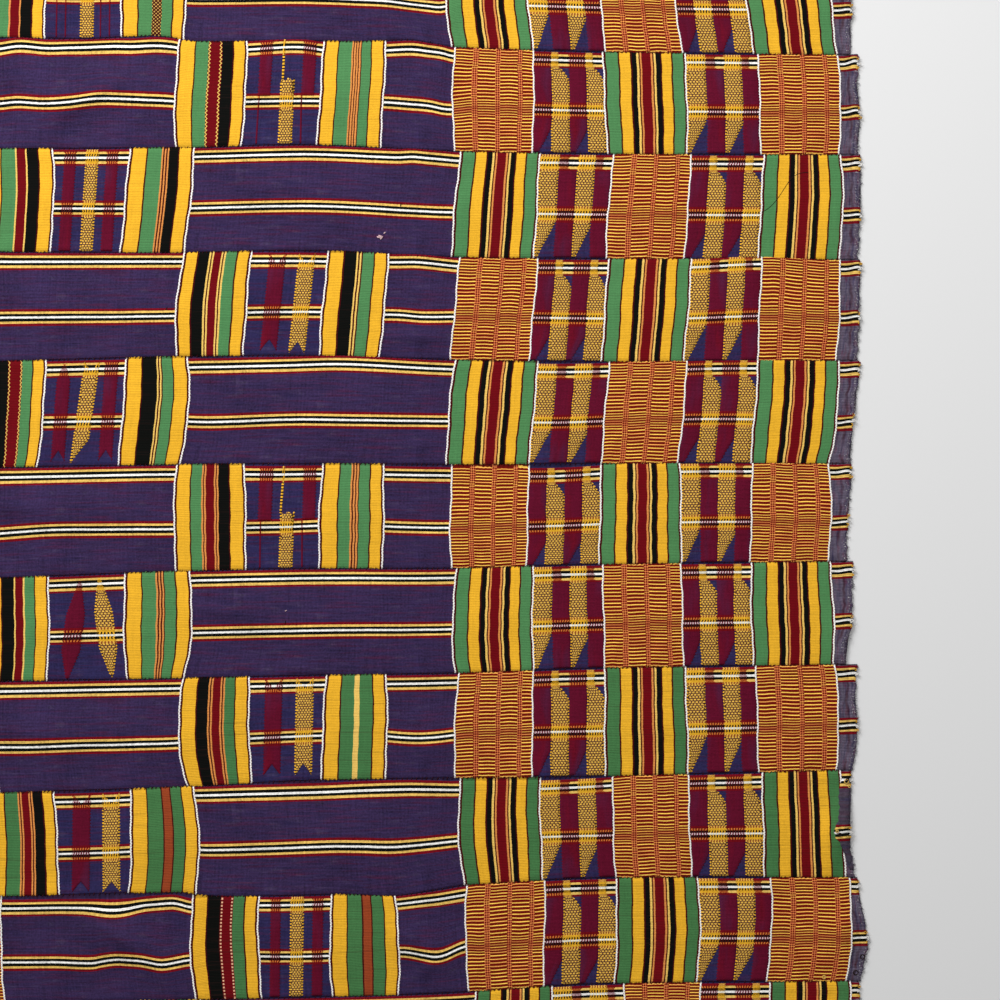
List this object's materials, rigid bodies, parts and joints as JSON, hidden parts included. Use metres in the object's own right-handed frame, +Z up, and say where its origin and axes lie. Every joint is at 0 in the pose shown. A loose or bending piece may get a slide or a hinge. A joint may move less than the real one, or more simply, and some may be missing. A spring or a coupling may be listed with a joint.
{
  "type": "strip-woven kente cloth length",
  "caption": "Rectangular length of strip-woven cotton cloth lying flat, its narrow striped and patterned strips sewn edge to edge, with a rolled hem along one end.",
  "frame": {"origin": "on the surface that the cloth lies on, under the middle of its outline", "axes": "+X along the woven strips towards their hemmed ends, +Y across the strips towards the first one, +Z up out of the face"},
  "size_m": [0.777, 0.988, 0.0059],
  "materials": {
    "cotton": "matt handwoven cotton"
  },
  "bodies": {
    "root": {"strip_01": "cotton", "strip_02": "cotton", "strip_03": "cotton", "strip_04": "cotton", "strip_05": "cotton", "strip_06": "cotton", "strip_07": "cotton", "strip_08": "cotton", "strip_09": "cotton", "strip_10": "cotton", "strip_11": "cotton"}
  },
  "joints": []
}
